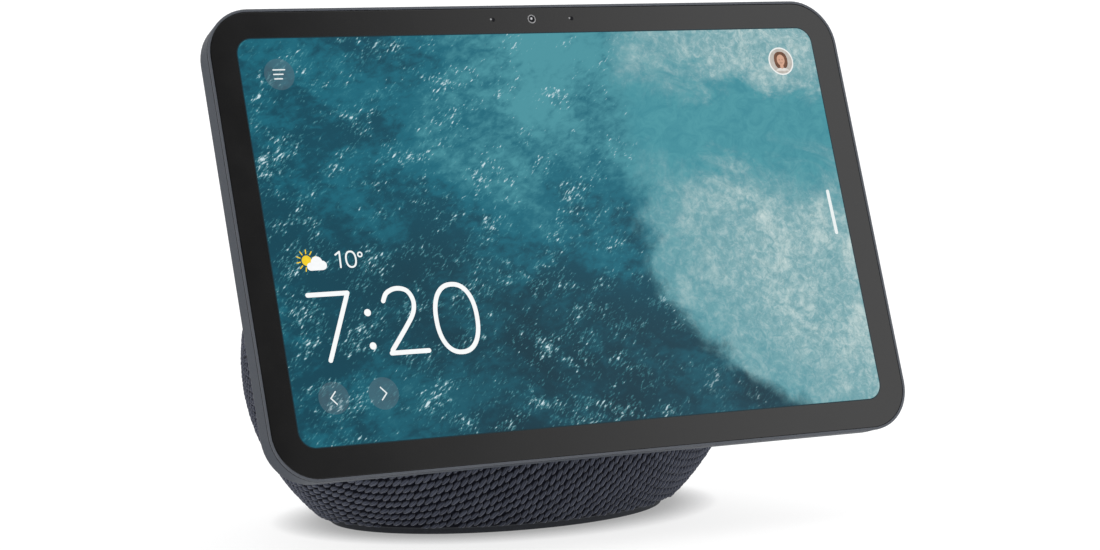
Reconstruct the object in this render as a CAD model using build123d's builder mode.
from build123d import *
from math import cos, radians, sin
import os

os.makedirs("parts", exist_ok=True)

# A smart display: a thin leaned-back screen slab carried by a fabric-covered speaker base.
# Frame: +Z up, the table at Z = 0, the viewer on the -Y side, +X to the viewer's right.
# Millimetres throughout. On the slab, x runs across, u up along the glass, and depths count
# backwards from the front face of the glass.

# ---------------------------------------------------------------- driving dimensions

# screen slab
lean = 20.8                  # lean back from vertical, degrees
glass_width = 205.0
glass_height = 131.9
glass_corner = 13.0
glass_thickness = 1.1
screen_width = 189.4         # lit area
screen_height = 116.0
screen_corner = 5.0
slab_thickness = 9.1
rim_width = 0.75             # slab edge outside the glass
side_taper = 5.0             # the side walls narrow towards the back, degrees
back_round = 2.5
glass_centre_z = 89.15       # height of the glass centre over the table

# base: an ellipsoid cut by the table and by the slab
base_half_width = 80.4
base_half_depth = 49.9
base_half_height = 67.0
base_behind_glass = 44.13    # ellipsoid centre behind the glass centre
base_below_glass = 39.75     # and below it

# skins of the base, as insets from the ellipsoid
fabric_thickness = 1.2
shell_outer = 1.25
shell_inner = 3.6

# layers of the slab, as depths
mask_back = 1.15
tape_back = 1.38
shelf_front = 1.4
shelf_back = 2.2
groove_front = 0.2           # thin shadow groove between the bezel lip and the side wall
groove_back = 0.6
panel_front = 1.2
panel_back = 2.3
backlight_back = 4.4
plate_front = 4.5
plate_back = 5.3
floor_front = 7.5            # inside face of the rear cover's floor
base_face = 10.3             # flat front face of the base
base_wall_back = 12.8

# neck between slab and base
neck_u = -10.4
neck_half_width = 25.5
neck_half_height = 17.5
flange_grow = 4.5
cable_half_width = 10.0
cable_half_height = 6.0

# keys in the slab's top edge
key_depth = 4.1
key_thickness = 3.2
key_bottom = 63.5            # underside of both keys
volume_x = 81.6
volume_length = 19.4
volume_proud = 1.0
mute_x = 62.5
mute_length = 9.0
mute_proud = 0.3
key_gap = 0.2
key_round = 0.45             # rounding of the keys' tops
key_foot_grow = 0.7          # the retaining foot is longer than the key at each end
key_foot = 0.7               # its thickness
pivot_radius = 0.6           # round rib under the volume key that it rocks on

# camera and sensors above the screen
camera_u = 62.4
camera_window = 1.3
barrel_radius = 1.7
sensor_x = 12.9
mic_places = (-75.0, -25.0, 25.0)    # microphone holes along the top edge
sensor_window = 0.5

# speaker drivers: flange radius, flange thickness, basket wall, cone travel
woofer_radius = 29.0
woofer_wall = 1.6
small_radius = 13.0
small_wall = 0.8
woofer_z = 56.0
woofer_behind = 31.0         # flange plane behind the base's centre
small_x = 46.0
small_ahead = 27.0
small_z = 41.5
flange_thickness = 2.0

# speaker box: half sizes of its ellipsoid and the flats that cut it
box_half_width = 61.0
box_half_depth = 42.5
box_half_height = 58.0
box_wall = 2.2
box_front = 27.0             # depth of its front flat, parallel to the slab
box_floor = 25.0
box_split = 8.0              # joint of its two halves, behind the base's centre

# main board behind the neck
board_front = 17.0
board_back = 18.2
board_u = -11.2
can_back = 20.2
pad_back = 20.6
sink_back = 25.5

# bottom of the base
foot_height = 1.8
rim_top = 2.15
plate_top = 4.4
shell_floor = 2.2

# power inlet at the rear
inlet_z = 17.5
inlet_floor = 38.0           # bottom of the plug recess, behind the base's centre
recess_radius = 5.5

# ---------------------------------------------------------------- shared places

lean_sin = sin(radians(lean))
lean_cos = cos(radians(lean))
front_reach = (glass_height / 2 + rim_width) * lean_sin
rear_reach = base_behind_glass + base_half_depth
glass_centre_y = -(rear_reach - front_reach) / 2     # puts the middle of the depth at Y = 0
base_y = glass_centre_y + base_behind_glass
base_z = glass_centre_z - base_below_glass

glass_centre = Vector(0, glass_centre_y, glass_centre_z)
slab_front = Vector(0, -lean_cos, lean_sin)          # out of the glass, to the viewer
slab_up = Vector(0, lean_sin, lean_cos)              # up along the glass
glass_plane = Plane(origin=glass_centre, x_dir=(1, 0, 0), z_dir=slab_front)
front_axis = Axis(glass_centre, slab_front)
section_plane = Plane(origin=glass_centre, x_dir=slab_up, z_dir=(1, 0, 0))   # local Y forwards
split_plane = Plane(origin=(0, base_y, 0), x_dir=(1, 0, 0), z_dir=(0, 1, 0))

screw_corners = ((1, 1), (-1, 1), (-1, -1), (1, -1))


def at_depth(depth):
    """The plane parallel to the glass at a depth behind it."""
    return glass_plane.offset(-depth)


def slab_point(x, u, depth):
    """A point given by its place across, up and behind the glass."""
    return glass_centre + Vector(x, 0, 0) + slab_up * u - slab_front * depth


def edge_plane(x, u, depth):
    """A plane facing up out of the slab's top edge, local X across the slab."""
    return Plane(origin=slab_point(x, u, depth), x_dir=(1, 0, 0), z_dir=slab_up)


def behind(distance, z=0.0):
    """The plane facing backwards at a distance behind the base's centre."""
    return Plane(origin=(0, base_y + distance, z), x_dir=(-1, 0, 0), z_dir=(0, 1, 0))


def ellipsoid(half_width, half_depth, half_height):
    """An ellipsoid on the base's centre."""
    return Pos(0, base_y, base_z) * scale(Sphere(1), by=(half_width, half_depth, half_height))


def pebble(inset):
    """The base's ellipsoid, shrunk by an inset on every side."""
    return ellipsoid(base_half_width - inset, base_half_depth - inset, base_half_height - inset)


def behind_and_above(form, depth, floor):
    """The part of a form behind a depth of the slab and above a floor."""
    kept = split(form, bisect_by=at_depth(depth), keep=Keep.BOTTOM)
    return split(kept, bisect_by=Plane.XY.offset(floor), keep=Keep.TOP)


def save(piece, name):
    piece.part.label = name
    export_step(piece.part, "parts/" + name + ".step")


def glass_outline(grow, mode=Mode.ADD):
    """The glass's outline, grown or shrunk on every side, in the open sketch."""
    RectangleRounded(glass_width + 2 * grow, glass_height + 2 * grow, glass_corner + grow, mode=mode)


def centred_window(width, height, corner):
    """A rounded window cut in the open sketch."""
    RectangleRounded(width, height, corner, mode=Mode.SUBTRACT)


def sensor_holes(camera_radius, sensor_radius):
    """The three round openings over the screen, cut in the open sketch."""
    with Locations((0, camera_u)):
        Circle(camera_radius, mode=Mode.SUBTRACT)
    with Locations((-sensor_x, camera_u), (sensor_x, camera_u)):
        Circle(sensor_radius, mode=Mode.SUBTRACT)


# ================================================================ screen slab

# ---- cover glass, its front edge rounded over
with BuildPart() as cover_glass:
    with BuildSketch(at_depth(glass_thickness)):
        glass_outline(0)
    extrude(amount=glass_thickness)
    fillet(cover_glass.faces().sort_by(front_axis)[-1].edges(), 0.3)
save(cover_glass, "cover_glass")

# ---- printed border behind the glass, with windows for the screen, camera and sensors
with BuildPart() as border_mask:
    with BuildSketch(at_depth(mask_back)):
        glass_outline(-0.2)
        centred_window(screen_width, screen_height, screen_corner)
        sensor_holes(camera_window, sensor_window)
    extrude(amount=mask_back - glass_thickness)
save(border_mask, "border_mask")

# ---- adhesive tape that holds the glass on the frame's shelf
with BuildPart() as glass_tape:
    with BuildSketch(at_depth(tape_back)):
        glass_outline(-0.6)
        centred_window(195.6, 122.2, 3.0)
        sensor_holes(2.4, 1.2)
    extrude(amount=tape_back - mask_back - 0.01)
save(glass_tape, "glass_tape")

# ---- bezel frame: a thin lip round the glass, a neck that leaves the shadow groove, a shelf
glass_gap = 0.05
groove_inset = 0.4
with BuildPart() as bezel_frame:
    with BuildSketch(at_depth(groove_front)):
        glass_outline(rim_width)
        glass_outline(glass_gap, mode=Mode.SUBTRACT)
    extrude(amount=groove_front)
    with BuildSketch(at_depth(shelf_back)):
        glass_outline(rim_width - groove_inset)
        glass_outline(glass_gap, mode=Mode.SUBTRACT)
    extrude(amount=shelf_back - groove_front)
    with BuildSketch(at_depth(shelf_back)):
        glass_outline(rim_width - groove_inset)
        centred_window(197.0, 123.6, 3.5)
        sensor_holes(2.2, 1.2)
    extrude(amount=shelf_back - shelf_front)
save(bezel_frame, "bezel_frame")

# ---- LCD panel
panel_width = 193.0
panel_height = 119.6
with BuildPart() as lcd_panel:
    with BuildSketch(at_depth(panel_back)):
        RectangleRounded(panel_width, panel_height, 1.5)
    extrude(amount=panel_back - panel_front)
save(lcd_panel, "lcd_panel")

# ---- backlight tray
with BuildPart() as backlight_unit:
    with BuildSketch(at_depth(backlight_back)):
        RectangleRounded(panel_width + 1.0, panel_height + 1.0, 1.5)
    extrude(amount=backlight_back - panel_back - 0.05)
save(backlight_unit, "backlight_unit")

# ---- stiffening plate behind the screen, notched for the keys and the camera
plate_screw_x = 99.2
plate_screw_u = 45.0
bracket_screws_at = ((11.5, 18.0), (-11.5, 18.0), (-11.5, -18.0), (11.5, -18.0))   # round the neck
board_standoffs_at = ((33.0, 28.5), (-33.0, 28.5), (33.0, 47.5), (-33.0, 47.5))
plate_width = 202.2
plate_height = 129.2
notch_u = 66.0               # middle of the notches in the plate's top edge
countersink_places = [
    Location(at_depth(plate_front)) * Pos(x, neck_u + u, 0) for x, u in bracket_screws_at
]
with BuildPart() as mid_plate:
    with BuildSketch(at_depth(plate_back)):
        RectangleRounded(plate_width, plate_height, glass_corner - 1.0)
        with Locations((75.0, notch_u)):
            Rectangle(42.0, 12.0, mode=Mode.SUBTRACT)
        with Locations((0, notch_u)):
            Rectangle(38.0, 18.0, mode=Mode.SUBTRACT)
        with Locations([(mic_x, notch_u) for mic_x in mic_places]):
            Rectangle(9.0, 9.5, mode=Mode.SUBTRACT)
        with Locations([(x * plate_screw_x, u * plate_screw_u) for x, u in screw_corners]):
            Circle(0.95, mode=Mode.SUBTRACT)
        with Locations([(x, neck_u + u) for x, u in bracket_screws_at]):
            Circle(1.1, mode=Mode.SUBTRACT)
    extrude(amount=plate_back - plate_front)
    with BuildSketch(at_depth(plate_back)):
        with Locations(board_standoffs_at):
            Circle(1.5)
    extrude(amount=-0.58)
    with Locations(*countersink_places):
        CounterSinkHole(1.1, 1.85, depth=3)
save(mid_plate, "mid_plate")

# ---- rear cover of the slab: tapered side walls, rounded back edge, openings for neck and keys
wall = 1.8
lip_wall = 0.35
with BuildPart() as rear_cover:
    with BuildSketch(at_depth(groove_back)):
        glass_outline(rim_width - groove_back * sin(radians(side_taper)))
    extrude(amount=-(slab_thickness - groove_back), taper=side_taper)
    fillet(rear_cover.faces().sort_by(front_axis)[0].edges(), back_round)
    with BuildSketch(at_depth(groove_back)):
        glass_outline(rim_width - lip_wall)
    extrude(amount=-(shelf_back + 0.05 - groove_back), mode=Mode.SUBTRACT)
    with BuildSketch(at_depth(groove_back)):
        glass_outline(rim_width - wall)
    extrude(amount=-(floor_front - groove_back), mode=Mode.SUBTRACT)
    with BuildSketch(at_depth(floor_front)):
        with Locations([(x * plate_screw_x, u * plate_screw_u) for x, u in screw_corners]):
            Circle(2.2)
    extrude(amount=floor_front - plate_back)
    with BuildSketch(at_depth(plate_back)):
        with Locations([(x * plate_screw_x, u * plate_screw_u) for x, u in screw_corners]):
            Circle(0.9)
    extrude(amount=plate_back - floor_front, mode=Mode.SUBTRACT)
    with BuildSketch(at_depth(floor_front)):
        with Locations((0, neck_u)):
            Ellipse(neck_half_width + 0.5, neck_half_height + 0.5)
    extrude(amount=-5, mode=Mode.SUBTRACT)
    for key_x, key_length in ((volume_x, volume_length), (mute_x, mute_length)):
        with BuildSketch(edge_plane(key_x, key_bottom, key_depth)):
            SlotOverall(key_length + 2 * key_gap, key_thickness + 2 * key_gap)
        extrude(amount=6, mode=Mode.SUBTRACT)
    for mic_x in mic_places:
        with BuildSketch(edge_plane(mic_x, key_bottom, key_depth)):
            Circle(0.5)
        extrude(amount=6, mode=Mode.SUBTRACT)
save(rear_cover, "rear_cover")

# ---- screws that hold the plate to the rear cover
with BuildPart() as plate_screws:
    with BuildSketch(at_depth(plate_front)):
        with Locations([(x * plate_screw_x, u * plate_screw_u) for x, u in screw_corners]):
            Circle(1.5)
    extrude(amount=0.6)
    with BuildSketch(at_depth(plate_front)):
        with Locations([(x * plate_screw_x, u * plate_screw_u) for x, u in screw_corners]):
            Circle(0.8)
    extrude(amount=-2.8)
save(plate_screws, "plate_screws")

# ---- display board on the plate's standoffs, its chips on the rear side
display_board_front = 5.9
display_board_back = 6.7
display_board_u = 38.0
display_chip_height = 0.6
with BuildPart() as display_board:
    with BuildSketch(at_depth(display_board_front)):
        with Locations((0, display_board_u)):
            RectangleRounded(72.0, 24.0, 1.0)
    extrude(amount=display_board_front - display_board_back)
    with BuildSketch(at_depth(display_board_back)):
        with Locations((-18.0, display_board_u + 1.0)):
            Rectangle(12.0, 12.0)
        with Locations((6.0, display_board_u - 2.0)):
            Rectangle(8.0, 10.0)
        with Locations((22.0, display_board_u + 3.0)):
            Rectangle(10.0, 6.0)
    extrude(amount=-display_chip_height)
save(display_board, "display_board")

# ---- camera module: square body behind the plate, barrel up to the glass
module_u = 61.4
module_width = 7.6
module_height = 6.8
module_front = 4.7
module_back = 7.3
barrel_front = 1.25
bore_radius = 1.2
bore_depth = 0.9
with BuildPart() as camera_module:
    with BuildSketch(at_depth(module_back)):
        with Locations((0, module_u)):
            RectangleRounded(module_width, module_height, 0.6)
    extrude(amount=module_back - module_front)
    with BuildSketch(at_depth(module_front)):
        with Locations((0, camera_u)):
            Circle(barrel_radius)
    extrude(amount=module_front - barrel_front)
    with BuildSketch(at_depth(barrel_front)):
        with Locations((0, camera_u)):
            Circle(bore_radius)
    extrude(amount=-bore_depth, mode=Mode.SUBTRACT)
save(camera_module, "camera_module")

# ---- camera lens in the mouth of the barrel, domed to the front
lens_back = 2.1
lens_thickness = 0.7
with BuildPart() as camera_lens:
    with BuildSketch(at_depth(lens_back)):
        with Locations((0, camera_u)):
            Circle(bore_radius - 0.05)
    extrude(amount=lens_thickness)
    fillet(camera_lens.faces().sort_by(front_axis)[-1].edges(), lens_thickness / 2)
save(camera_lens, "camera_lens")

# ---- bracket that clips the camera module to the rear cover's floor
bracket_u = 60.9
bracket_front = 5.0
bracket_back = 7.4
clip_gap = 0.15
with BuildPart() as camera_bracket:
    with BuildSketch(at_depth(bracket_front)):
        with Locations((0, bracket_u)):
            Rectangle(13.0, 7.6)
        with Locations((0, module_u)):
            RectangleRounded(
                module_width + 2 * clip_gap, module_height + 2 * clip_gap, 0.7, mode=Mode.SUBTRACT
            )
    extrude(amount=bracket_front - bracket_back)
save(camera_bracket, "camera_bracket")

# ---- sensor board behind the border, with a light pipe under each small window
sensor_board_u = 62.5
sensor_board_back = 3.4
sensor_board_front = 2.8
pipe_front = 1.25
with BuildPart() as sensor_board:
    with BuildSketch(at_depth(sensor_board_back)):
        with Locations((0, sensor_board_u)):
            Rectangle(34.0, 3.9)
        with Locations((0, camera_u)):
            Circle(barrel_radius + 0.5, mode=Mode.SUBTRACT)
    extrude(amount=sensor_board_back - sensor_board_front)
save(sensor_board, "sensor_board")

with BuildPart() as sensor_pipes:
    with BuildSketch(at_depth(sensor_board_front - 0.05)):
        with Locations((-sensor_x, camera_u), (sensor_x, camera_u)):
            Circle(0.9)
    extrude(amount=sensor_board_front - 0.05 - pipe_front)
save(sensor_pipes, "sensor_pipes")

# ---- microphones under the holes of the top edge: boards with their cans, and rubber seals
mic_board_u = 63.2           # upper face of the microphone boards
mic_board_thickness = 0.5
mic_can_height = 0.9
mic_seal_height = 1.55
with BuildPart() as mic_boards:
    for mic_x in mic_places:
        with BuildSketch(edge_plane(mic_x, mic_board_u, key_depth)):
            Rectangle(7.0, 2.8)
        extrude(amount=-mic_board_thickness)
        with BuildSketch(edge_plane(mic_x, mic_board_u - mic_board_thickness, key_depth)):
            Rectangle(3.2, 2.2)
        extrude(amount=-mic_can_height)
save(mic_boards, "mic_boards")

with BuildPart() as mic_seals:
    for mic_x in mic_places:
        with BuildSketch(edge_plane(mic_x, mic_board_u + 0.05, key_depth)):
            Rectangle(4.0, 2.6)
            Circle(0.6, mode=Mode.SUBTRACT)
        extrude(amount=mic_seal_height)
save(mic_seals, "mic_seals")

# ---- wireless antennas stuck to the inside of the side walls
antenna_x = 100.9
antenna_u = 12.0
antenna_length = 34.0
antenna_width = 1.6
with BuildPart() as wifi_antennas:
    for side in (-1, 1):
        with BuildSketch(at_depth(7.2)):
            with Locations((side * antenna_x, antenna_u)):
                Rectangle(0.4, antenna_length)
        extrude(amount=antenna_width)
save(wifi_antennas, "wifi_antennas")

# ================================================================ keys in the top edge

rim_top_u = glass_height / 2 + rim_width
pivot_length = 2.4
saddle_gap = 0.05


def key_cap(x, length, proud):
    """A pill-shaped key with rounded-over top, and a retaining foot inside the wall."""
    with BuildPart() as key:
        with BuildSketch(edge_plane(x, key_bottom, key_depth)):
            SlotOverall(length, key_thickness)
        extrude(amount=rim_top_u + proud - key_bottom)
        fillet(key.faces().sort_by(Axis(glass_centre, slab_up))[-1].edges(), key_round)
        with BuildSketch(edge_plane(x, key_bottom, key_depth)):
            SlotOverall(length + 2 * key_foot_grow, key_thickness)
        extrude(amount=key_foot)
    return key


# ---- volume key, rocks on a round rib under its middle
volume_cap = key_cap(volume_x, volume_length, volume_proud)
with BuildPart() as volume_key:
    add(volume_cap.part)
    with BuildSketch(at_depth(key_depth + pivot_length / 2)):
        with Locations((volume_x, key_bottom)):
            Circle(pivot_radius)
    extrude(amount=pivot_length)
save(volume_key, "volume_key")

# ---- microphone and camera off key, pushes straight in
mute_key = key_cap(mute_x, mute_length, mute_proud)
save(mute_key, "mute_key")

# ---- key board with the rocker's saddle, and its three snap switches
switch_reach = 7.0           # of the two volume switches from the pivot
switch_places = (volume_x - switch_reach, volume_x + switch_reach, mute_x)
key_board_x = 74.5
key_board_length = 37.0
key_board_width = 3.4
key_board_thickness = 0.7
board_top_u = 61.0
saddle_width = 1.8
with BuildPart() as key_board:
    with BuildSketch(edge_plane(key_board_x, board_top_u, key_depth + 0.2)):
        Rectangle(key_board_length, key_board_width)
    extrude(amount=-key_board_thickness)
    with BuildSketch(edge_plane(volume_x, board_top_u, key_depth)):
        Rectangle(saddle_width, 3.0)
    extrude(amount=key_bottom - 0.3 - board_top_u)
    with BuildSketch(at_depth(key_depth + 3.0)):
        with Locations((volume_x, key_bottom)):
            Circle(pivot_radius + saddle_gap)
    extrude(amount=6.0, mode=Mode.SUBTRACT)
save(key_board, "key_board")

switch_height = 1.5
plunger_height = 0.4
with BuildPart() as key_switches:
    for switch_x in switch_places:
        with BuildSketch(edge_plane(switch_x, board_top_u + 0.02, key_depth)):
            RectangleRounded(3.0, 2.6, 0.3)
        extrude(amount=switch_height)
        with BuildSketch(edge_plane(switch_x, board_top_u + switch_height, key_depth)):
            Circle(0.6)
        extrude(amount=plunger_height)
save(key_switches, "key_switches")

# ================================================================ neck

neck_screws_at = ((17.0, 8.5), (-17.0, 8.5), (-17.0, -8.5), (17.0, -8.5))   # round its centre
flange_front = 5.4
flange_back = 7.4


def neck_sketch_points(points):
    """Places round the neck's centre, in the glass plane's own axes."""
    return [(x, neck_u + u) for x, u in points]


# ---- neck bracket: flange inside the slab, body through the rear cover, cable hole
with BuildPart() as neck_bracket:
    with BuildSketch(at_depth(flange_back)):
        with Locations((0, neck_u)):
            Ellipse(neck_half_width + flange_grow, neck_half_height + flange_grow)
    extrude(amount=flange_back - flange_front)
    with BuildSketch(at_depth(base_face - 0.02)):
        with Locations((0, neck_u)):
            Ellipse(neck_half_width, neck_half_height)
    extrude(amount=base_face - 0.02 - flange_front)
    with BuildSketch(at_depth(flange_front)):
        with Locations((0, neck_u)):
            Ellipse(cable_half_width, cable_half_height)
    extrude(amount=-8, mode=Mode.SUBTRACT)
    with BuildSketch(at_depth(flange_front)):
        with Locations((0, neck_u + 14.0)):
            Rectangle(16.0, 28.0)
    extrude(amount=-0.9, mode=Mode.SUBTRACT)
    with BuildSketch(at_depth(flange_front)):
        with Locations(neck_sketch_points(neck_screws_at)):
            Circle(1.7)
    extrude(amount=-8, mode=Mode.SUBTRACT)
    with BuildSketch(at_depth(flange_front)):
        with Locations(neck_sketch_points(neck_screws_at)):
            Circle(3.1)
    extrude(amount=-2.6, mode=Mode.SUBTRACT)
    with BuildSketch(at_depth(flange_front)):
        with Locations(neck_sketch_points(bracket_screws_at)):
            Circle(1.0)
    extrude(amount=-1.9, mode=Mode.SUBTRACT)
save(neck_bracket, "neck_bracket")

# ---- countersunk screws from the plate into the bracket's flange
with BuildPart() as bracket_screws:
    for x, u in bracket_screws_at:
        with BuildSketch(at_depth(plate_front + 0.02)):
            with Locations((x, neck_u + u)):
                Circle(1.7)
        with BuildSketch(at_depth(plate_back)):
            with Locations((x, neck_u + u)):
                Circle(0.9)
        loft()
        with BuildSketch(at_depth(plate_back)):
            with Locations((x, neck_u + u)):
                Circle(0.9)
        extrude(amount=-1.8)
save(bracket_screws, "bracket_screws")

# ---- screws from the bracket into the base
neck_head_seat = 7.95
neck_head_height = 2.2
neck_shank_length = 7.0
shank_radius = 1.5           # of all the larger screws
socket_radius = 1.1          # and of the hexagon sockets in their heads
with BuildPart() as neck_screws:
    with BuildSketch(at_depth(neck_head_seat)):
        with Locations(neck_sketch_points(neck_screws_at)):
            Circle(2.8)
            RegularPolygon(socket_radius, 6, mode=Mode.SUBTRACT)
    extrude(amount=neck_head_height)
    with BuildSketch(at_depth(neck_head_seat)):
        with Locations(neck_sketch_points(neck_screws_at)):
            Circle(shank_radius)
    extrude(amount=-neck_shank_length)
save(neck_screws, "neck_screws")

# ---- foam ring that closes the seam round the neck
with BuildPart() as neck_gasket:
    with BuildSketch(at_depth(base_face - 0.05)):
        with Locations((0, neck_u)):
            Ellipse(neck_half_width + 7.5, neck_half_height + 7.5)
            Ellipse(neck_half_width + 1.0, neck_half_height + 1.0, mode=Mode.SUBTRACT)
    extrude(amount=base_face - 0.05 - slab_thickness - 0.05)
save(neck_gasket, "neck_gasket")

# ---- flat cable from the display board through the neck to the main board
cable_top = 30.0
cable_front = 5.65
cable_thickness = 0.15
cable_drop = -9.0
cable_end = 16.95
with BuildPart() as display_cable:
    with BuildSketch(section_plane.offset(-7.0)):
        with BuildLine():
            Polyline(
                (cable_top, -cable_front),
                (cable_drop, -cable_front),
                (cable_drop, -cable_end),
                (cable_drop + 7.0, -cable_end),
                (cable_drop + 7.0, -cable_end + cable_thickness),
                (cable_drop + cable_thickness, -cable_end + cable_thickness),
                (cable_drop + cable_thickness, -cable_front - cable_thickness),
                (cable_top, -cable_front - cable_thickness),
                close=True,
            )
        make_face()
    extrude(amount=14.0)
save(display_cable, "display_cable")

# ================================================================ base

fabric_outside = behind_and_above(pebble(0), base_face, 2.25)
fabric_inside = pebble(fabric_thickness)
shell_outside = behind_and_above(pebble(shell_outer), base_face, shell_floor)
shell_inside = behind_and_above(pebble(shell_inner), base_wall_back, -1.0)
panel_form = pebble(0.4)


def inlet_slot(width, height):
    """The outline of the power inlet's panel, in the open sketch."""
    with Locations((0, inlet_z)):
        SlotOverall(width, height)


# ---- knitted sleeve over the whole base, open at the neck, the table and the power inlet
with BuildPart() as knit_sleeve:
    add(fabric_outside)
    add(fabric_inside, mode=Mode.SUBTRACT)
    with BuildSketch(behind(30.0)):
        inlet_slot(30.4, 15.4)
    extrude(amount=40, mode=Mode.SUBTRACT)
    split(bisect_by=at_depth(base_face), keep=Keep.BOTTOM)
save(knit_sleeve, "knit_sleeve")

# ---- screw posts that join the two half shells
post_places = ((66.0, 14.0), (-66.0, 14.0), (-66.0, -14.0), (66.0, -14.0))   # x, z from the centre
neck_boss_back = 16.2
board_posts_at = ((26.0, 17.0), (-26.0, 17.0), (-26.0, -17.0), (26.0, -17.0))
small_slot_pitch = 4.6
woofer_slot_pitch = 4.4
well_floor = 6.0             # bottom of the screw wells, behind the base's centre


def small_plane(side):
    """The flange plane of a small driver, facing out and forwards on its side."""
    return Plane(
        origin=(side * small_x, base_y - small_ahead, small_z),
        x_dir=(0.8 * side, 0.6, 0),
        z_dir=(0.6 * side, -0.8, 0),
    )


def shell_posts(from_plane, reach):
    """Four posts along Y in the open part, from a plane backwards."""
    with BuildSketch(from_plane) as post_circles:
        with Locations([(-x, base_z + z) for x, z in post_places]):
            Circle(3.5)
    extrude(post_circles.sketch, amount=reach)


# ---- front half shell: closed by the flat neck wall, with posts, bosses and speaker slots
with BuildPart() as front_shell:
    add(shell_outside)
    add(shell_inside, mode=Mode.SUBTRACT)
    with BuildSketch(at_depth(base_wall_back - 0.5)):
        with Locations(neck_sketch_points(neck_screws_at)):
            Circle(3.4)
    extrude(amount=-(neck_boss_back - base_wall_back + 0.5))
    with BuildSketch(at_depth(base_wall_back - 0.5)):
        with Locations([(x, board_u + u) for x, u in board_posts_at]):
            Circle(2.6)
    extrude(amount=-(board_front - 0.02 - base_wall_back + 0.5))
    shell_posts(behind(-24.0), 24.0)
    add(shell_outside, mode=Mode.INTERSECT)
    split(bisect_by=split_plane, keep=Keep.BOTTOM)
    with BuildSketch(behind(-12.0)):
        with Locations([(-x, base_z + z) for x, z in post_places]):
            Circle(1.6)
    extrude(amount=14, mode=Mode.SUBTRACT)
    with BuildSketch(at_depth(base_face)):
        with Locations((0, neck_u)):
            Ellipse(cable_half_width + 1, cable_half_height + 1)
        with Locations(neck_sketch_points(neck_screws_at)):
            Circle(1.6)
    extrude(amount=-8, mode=Mode.SUBTRACT)
    with BuildSketch(at_depth(base_wall_back + 0.6)):
        with Locations([(x, board_u + u) for x, u in board_posts_at]):
            Circle(1.1)
    extrude(amount=-5, mode=Mode.SUBTRACT)
    for side in (-1, 1):
        with BuildSketch(small_plane(side)):
            for row in range(-2, 3):
                with Locations((0, row * small_slot_pitch)):
                    SlotOverall(20.0 - 2.5 * abs(row), 2.2)
        extrude(amount=20, mode=Mode.SUBTRACT)
save(front_shell, "front_shell")

# ---- rear half shell: posts with screw wells, woofer slots, power inlet opening
with BuildPart() as rear_shell:
    add(shell_outside)
    add(shell_inside, mode=Mode.SUBTRACT)
    shell_posts(behind(0.0), 24.0)
    add(shell_outside, mode=Mode.INTERSECT)
    split(bisect_by=split_plane, keep=Keep.TOP)
    with BuildSketch(behind(0.0)):
        with Locations([(-x, base_z + z) for x, z in post_places]):
            Circle(1.7)
    extrude(amount=30, mode=Mode.SUBTRACT)
    with BuildSketch(behind(well_floor)):
        with Locations([(-x, base_z + z) for x, z in post_places]):
            Circle(3.0)
    extrude(amount=30, mode=Mode.SUBTRACT)
    with BuildSketch(behind(30.0)):
        for row in range(-5, 6):
            with Locations((0, woofer_z + row * woofer_slot_pitch)):
                SlotOverall(50.0 - 1.2 * row * row, 2.4)
    extrude(amount=30, mode=Mode.SUBTRACT)
    with BuildSketch(behind(30.0)):
        inlet_slot(30.6, 15.6)
    extrude(amount=30, mode=Mode.SUBTRACT)
save(rear_shell, "rear_shell")

# ---- screws that join the half shells
shell_head_height = 2.2
shell_shank_length = 16.0
with BuildPart() as shell_screws:
    with BuildSketch(behind(well_floor + 0.05)):
        with Locations([(-x, base_z + z) for x, z in post_places]):
            Circle(2.7)
            RegularPolygon(socket_radius, 6, mode=Mode.SUBTRACT)
    extrude(amount=shell_head_height)
    with BuildSketch(behind(well_floor + 0.05)):
        with Locations([(-x, base_z + z) for x, z in post_places]):
            Circle(shank_radius)
    extrude(amount=-shell_shank_length)
save(shell_screws, "shell_screws")

# ---- bottom of the base: rubber foot, plate, ballast
foot_half_width = 53.6
foot_half_depth = 32.9
foot_origin = Plane(origin=(0, base_y, 0), x_dir=(1, 0, 0), z_dir=(0, 0, 1))
with BuildPart() as rubber_foot:
    with BuildSketch(foot_origin):
        Ellipse(foot_half_width, foot_half_depth)
    extrude(amount=foot_height)
    fillet(rubber_foot.faces().sort_by(Axis.Z)[0].edges(), 0.6)
save(rubber_foot, "rubber_foot")

base_screws_at = ((36.0, -8.0), (-36.0, -8.0), (-36.0, 16.0), (36.0, 16.0))
with BuildPart() as base_plate:
    with BuildSketch(foot_origin.offset(foot_height + 0.01)):
        Ellipse(foot_half_width + 1.0, foot_half_depth + 0.6)
    extrude(amount=rim_top - foot_height)
    with BuildSketch(foot_origin.offset(foot_height + 0.01)):
        Ellipse(foot_half_width - 3.4, foot_half_depth - 2.9)
    extrude(amount=plate_top - foot_height)
    with BuildSketch(foot_origin.offset(foot_height)):
        with Locations(base_screws_at):
            Circle(1.7)
    extrude(amount=5, mode=Mode.SUBTRACT)
    with BuildSketch(foot_origin.offset(foot_height)):
        with Locations(base_screws_at):
            Circle(3.0)
    extrude(amount=1.6, mode=Mode.SUBTRACT)
save(base_plate, "base_plate")

ballast_height = 7.5
with BuildPart() as ballast_plate:
    with BuildSketch(foot_origin.offset(plate_top + 0.05)):
        Ellipse(30.0, 20.0)
    extrude(amount=ballast_height)
    chamfer(ballast_plate.faces().sort_by(Axis.Z)[-1].edges(), 0.8)
save(ballast_plate, "ballast_plate")

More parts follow.
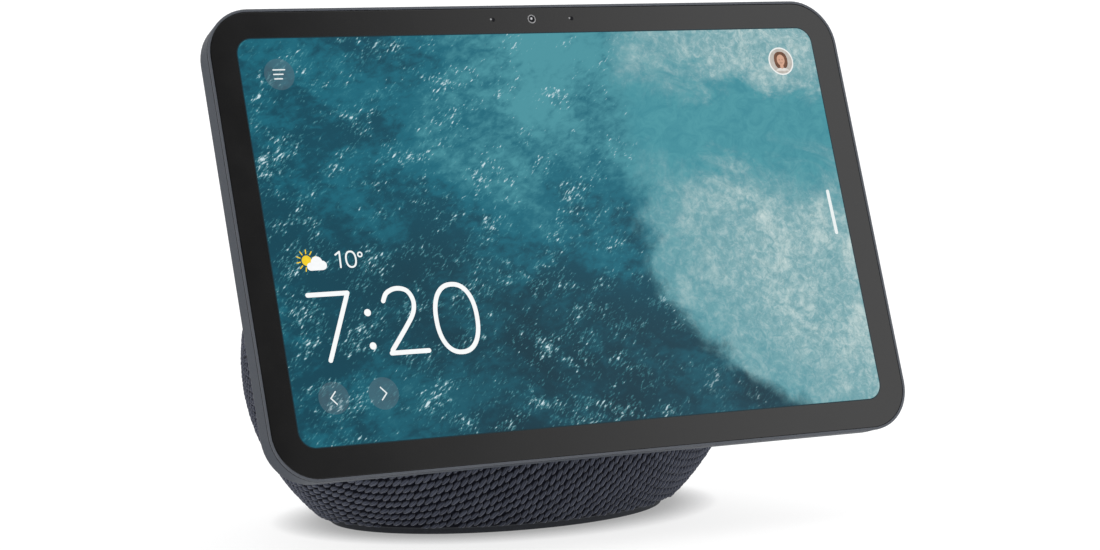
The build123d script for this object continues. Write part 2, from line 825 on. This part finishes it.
base_head_height = 1.5
base_shank_length = 12.0
with BuildPart() as base_screws:
    with BuildSketch(foot_origin.offset(foot_height + 0.05)):
        with Locations(base_screws_at):
            Circle(2.7)
            RegularPolygon(socket_radius, 6, mode=Mode.SUBTRACT)
    extrude(amount=base_head_height)
    with BuildSketch(foot_origin.offset(foot_height + base_head_height)):
        with Locations(base_screws_at):
            Circle(shank_radius)
    extrude(amount=base_shank_length)
save(base_screws, "base_screws")

# ================================================================ main board

# ---- main board with its chips on the rear side
with BuildPart() as main_board:
    with BuildSketch(at_depth(board_front)):
        with Locations((0, board_u)):
            RectangleRounded(62.0, 44.0, 2.0)
        with Locations([(x, board_u + u) for x, u in board_posts_at]):
            Circle(1.1, mode=Mode.SUBTRACT)
    extrude(amount=board_front - board_back)
    with BuildSketch(at_depth(board_back)):
        for chip_x, chip_u, chip_side in ((12.8, 2.0, 14.0), (-12.8, 4.0, 10.0), (-12.8, -8.0, 9.0)):
            with Locations((chip_x, board_u + chip_u)):
                Rectangle(chip_side, chip_side * 0.9)
    extrude(amount=-1.2)
save(main_board, "main_board")

with BuildPart() as board_screws:
    with BuildSketch(at_depth(board_back + 1.0)):
        with Locations([(x, board_u + u) for x, u in board_posts_at]):
            Circle(1.9)
    extrude(amount=0.98)
    with BuildSketch(at_depth(board_back + 0.1)):
        with Locations([(x, board_u + u) for x, u in board_posts_at]):
            Circle(1.0)
    extrude(amount=4.6)
save(board_screws, "board_screws")

can_places = ((12.8, board_u), (-12.8, board_u))
with BuildPart() as shield_cans:
    with BuildSketch(at_depth(board_back + 0.02)):
        with Locations(can_places):
            RectangleRounded(24.0, 27.0, 1.0)
    extrude(amount=-(can_back - board_back - 0.02))
    with BuildSketch(at_depth(board_back)):
        with Locations(can_places):
            RectangleRounded(23.4, 26.4, 0.8)
    extrude(amount=-(can_back - board_back - 0.3), mode=Mode.SUBTRACT)
save(shield_cans, "shield_cans")

with BuildPart() as thermal_pads:
    with BuildSketch(at_depth(can_back + 0.01)):
        with Locations(can_places):
            Rectangle(20.0, 22.0)
    extrude(amount=-(pad_back - can_back - 0.02))
save(thermal_pads, "thermal_pads")

# ---- finned heat sink behind the shield cans
with BuildPart() as heat_sink:
    with BuildSketch(at_depth(pad_back)):
        with Locations((0, board_u)):
            Rectangle(52.0, 32.0)
    extrude(amount=-1.4)
    with BuildSketch(at_depth(pad_back + 1.2)):
        with Locations((0, board_u)):
            with GridLocations(5.1, 0, 10, 1):
                Rectangle(1.0, 32.0)
    extrude(amount=-(sink_back - pad_back - 1.2))
save(heat_sink, "heat_sink")

# ================================================================ speakers


def driver_section(plane):
    """The plane through a driver's axis: local X is the radius, local Y points to the listener."""
    return Plane(origin=plane.origin, x_dir=plane.x_dir, z_dir=-plane.y_dir)


def spin(plane, outline):
    """A closed outline of radius and height turned about a driver's axis, in the open part."""
    with BuildSketch(driver_section(plane)) as half_section:
        with BuildLine():
            Polyline(*outline, close=True)
        make_face()
    revolve(half_section.sketch, axis=Axis(plane.origin, plane.z_dir))


def driver_basket(plane, radius, basket_wall):
    """Flange, tapered basket and the ring that the magnet sits on."""
    mouth = 0.82 * radius
    throat = 0.5 * radius
    seat = -0.42 * radius
    with BuildPart() as basket:
        spin(plane, (
            (mouth, flange_thickness),
            (radius, flange_thickness),
            (radius, 0),
            (mouth + basket_wall, 0),
            (throat + basket_wall, seat),
            (throat + basket_wall, seat - 1.2),
            (0.3 * radius, seat - 1.2),
            (0.3 * radius, seat),
            (throat, seat),
            (mouth, -0.6),
        ))
    return basket


def driver_magnet(plane, radius):
    """Pot magnet with a round gap for the voice coil."""
    top = -0.42 * radius - 1.22
    with BuildPart() as magnet:
        spin(plane, (
            (0, top),
            (0.19 * radius, top),
            (0.19 * radius, top - 0.26 * radius),
            (0.28 * radius, top - 0.26 * radius),
            (0.28 * radius, top),
            (0.6 * radius, top),
            (0.6 * radius, top - 0.36 * radius),
            (0, top - 0.36 * radius),
        ))
    return magnet


def driver_cone(plane, radius):
    """Cone, domed cap and voice coil former: the piece that moves."""
    edge = -0.02 * radius
    apex = -0.28 * radius
    coil_foot = -0.42 * radius - 1.2 - 0.12 * radius
    with BuildPart() as cone:
        spin(plane, (
            (0.25 * radius, apex + 0.5),
            (0.7 * radius, edge),
            (0.7 * radius, edge - 0.6),
            (0.25 * radius, apex - 0.1),
            (0.25 * radius, coil_foot),
            (0.22 * radius, coil_foot),
            (0.22 * radius, apex + 0.2),
            (0, apex + 0.3 + 0.07 * radius),
            (0, apex + 0.7 + 0.07 * radius),
            (0.22 * radius, apex + 0.6),
        ))
    return cone


def driver_surround(plane, radius):
    """Rubber roll between the cone's edge and the flange."""
    inner = 0.7 * radius + 0.2
    outer = 0.82 * radius - 0.1
    roll = (outer - inner) / 2
    edge = -0.02 * radius
    with BuildPart() as surround:
        with BuildSketch(driver_section(plane)):
            with BuildLine():
                ThreePointArc((inner, edge), ((inner + outer) / 2, edge + roll), (outer, edge))
                Line((outer, edge), (outer - 0.5, edge))
                ThreePointArc(
                    (outer - 0.5, edge), ((inner + outer) / 2, edge + roll - 0.5), (inner + 0.5, edge)
                )
                Line((inner + 0.5, edge), (inner, edge))
            make_face()
        revolve(axis=Axis(plane.origin, plane.z_dir))
    return surround


# ---- woofer, firing backwards
woofer_plane = behind(woofer_behind + 0.5, woofer_z)
woofer_basket = driver_basket(woofer_plane, woofer_radius, woofer_wall)
woofer_screw_radius = 0.935 * woofer_radius
with BuildPart() as woofer_basket_drilled:
    add(woofer_basket.part)
    with BuildSketch(woofer_plane.offset(-1)):
        with PolarLocations(woofer_screw_radius, 4, start_angle=45):
            Circle(0.9)
    extrude(amount=5, mode=Mode.SUBTRACT)
save(woofer_basket_drilled, "woofer_basket")
save(driver_magnet(woofer_plane, woofer_radius), "woofer_magnet")
save(driver_cone(woofer_plane, woofer_radius), "woofer_cone")
save(driver_surround(woofer_plane, woofer_radius), "woofer_surround")

with BuildPart() as woofer_gasket:
    with BuildSketch(woofer_plane.offset(-0.48)):
        Circle(woofer_radius)
        Circle(0.82 * woofer_radius + woofer_wall + 0.2, mode=Mode.SUBTRACT)
        with PolarLocations(woofer_screw_radius, 4, start_angle=45):
            Circle(0.9, mode=Mode.SUBTRACT)
    extrude(amount=0.46)
save(woofer_gasket, "woofer_gasket")

with BuildPart() as woofer_screws:
    with BuildSketch(woofer_plane.offset(flange_thickness + 0.02)):
        with PolarLocations(woofer_screw_radius, 4, start_angle=45):
            Circle(1.6)
    extrude(amount=0.9)
    with BuildSketch(woofer_plane.offset(flange_thickness + 0.1)):
        with PolarLocations(woofer_screw_radius, 4, start_angle=45):
            Circle(0.8)
    extrude(amount=-5.0)
save(woofer_screws, "woofer_screws")

# ---- two small full-range drivers, firing out and forwards
for side, side_name in ((-1, "left"), (1, "right")):
    plane = small_plane(side)
    save(driver_basket(plane, small_radius, small_wall), "driver_basket_" + side_name)
    save(driver_magnet(plane, small_radius), "driver_magnet_" + side_name)
    save(driver_cone(plane, small_radius), "driver_cone_" + side_name)
    save(driver_surround(plane, small_radius), "driver_surround_" + side_name)

# ---- speaker box in two halves, with the driver tubes and four posts down to the base plate


def box_form(inset):
    """The box's ellipsoid with its flat front, floor and woofer face."""
    form = ellipsoid(box_half_width - inset, box_half_depth - inset, box_half_height - inset)
    form = behind_and_above(form, box_front + inset, box_floor + inset)
    return split(form, bisect_by=behind(woofer_behind - inset), keep=Keep.BOTTOM)


box_outside = box_form(0)
box_inside = box_form(box_wall)
box_joint = behind(box_split)
tube_radius = 16.0
tube_bore = 11.9
tube_length = 14.0


def speaker_box(keep):
    """One half of the box, on one side of its joint."""
    with BuildPart() as box:
        add(box_outside)
        for side in (-1, 1):
            with BuildSketch(small_plane(side).offset(-0.02)):
                Circle(tube_radius)
            extrude(amount=-tube_length)
        for side in (-1, 1):
            with BuildSketch(small_plane(side).offset(-0.02)):
                Circle(tube_radius + 1)
            extrude(amount=10, mode=Mode.SUBTRACT)
        add(box_inside, mode=Mode.SUBTRACT)
        for side in (-1, 1):
            with BuildSketch(small_plane(side)):
                Circle(tube_bore)
            extrude(amount=-tube_length - 6, mode=Mode.SUBTRACT)
        with BuildSketch(woofer_plane):
            Circle(0.82 * woofer_radius + woofer_wall + 0.2)
        extrude(amount=-6, mode=Mode.SUBTRACT)
        with BuildSketch(woofer_plane):
            with PolarLocations(woofer_screw_radius, 4, start_angle=45):
                Circle(0.9)
        extrude(amount=-6, mode=Mode.SUBTRACT)
        with BuildSketch(foot_origin.offset(plate_top + 0.05)):
            with Locations(base_screws_at):
                Circle(3.4)
        extrude(amount=box_floor + 0.5 - plate_top)
        with BuildSketch(foot_origin.offset(plate_top)):
            with Locations(base_screws_at):
                Circle(1.6)
        extrude(amount=12, mode=Mode.SUBTRACT)
        split(bisect_by=box_joint, keep=keep)
    return box


save(speaker_box(Keep.BOTTOM), "speaker_box_front")
save(speaker_box(Keep.TOP), "speaker_box_rear")

# ================================================================ power inlet

# ---- inlet panel, flush with the sleeve, with the plug recess
with BuildPart() as inlet_panel:
    with BuildSketch(behind(inlet_floor - 1.5)):
        inlet_slot(30.0, 15.0)
    extrude(amount=14)
    add(panel_form, mode=Mode.INTERSECT)
    with BuildSketch(behind(inlet_floor)):
        with Locations((0, inlet_z)):
            Circle(recess_radius)
    extrude(amount=14, mode=Mode.SUBTRACT)
    with BuildSketch(behind(inlet_floor - 2)):
        with Locations((0, inlet_z)):
            Circle(3.6)
    extrude(amount=4, mode=Mode.SUBTRACT)
save(inlet_panel, "inlet_panel")

# ---- power jack: moulded body with its bore and centre pin
jack_plane = behind(inlet_floor - 1.6, inlet_z)
with BuildPart() as power_jack:
    with BuildSketch(jack_plane):
        Rectangle(9.0, 9.0)
    extrude(amount=-12.0)
    with BuildSketch(jack_plane):
        Circle(3.5)
    extrude(amount=1.5)
    with BuildSketch(jack_plane.offset(1.5)):
        Circle(2.8)
    extrude(amount=-10.0, mode=Mode.SUBTRACT)
    with BuildSketch(jack_plane.offset(-8.5)):
        Circle(1.0)
    extrude(amount=8.0)
save(power_jack, "power_jack")

# ---- small board under the jack
power_board_plane = Plane(
    origin=(0, base_y + inlet_floor - 9.0, inlet_z - 4.55), x_dir=(1, 0, 0), z_dir=(0, 0, -1)
)
with BuildPart() as power_board:
    with BuildSketch(power_board_plane):
        Rectangle(24.0, 13.0)
    extrude(amount=1.0)
save(power_board, "power_board")
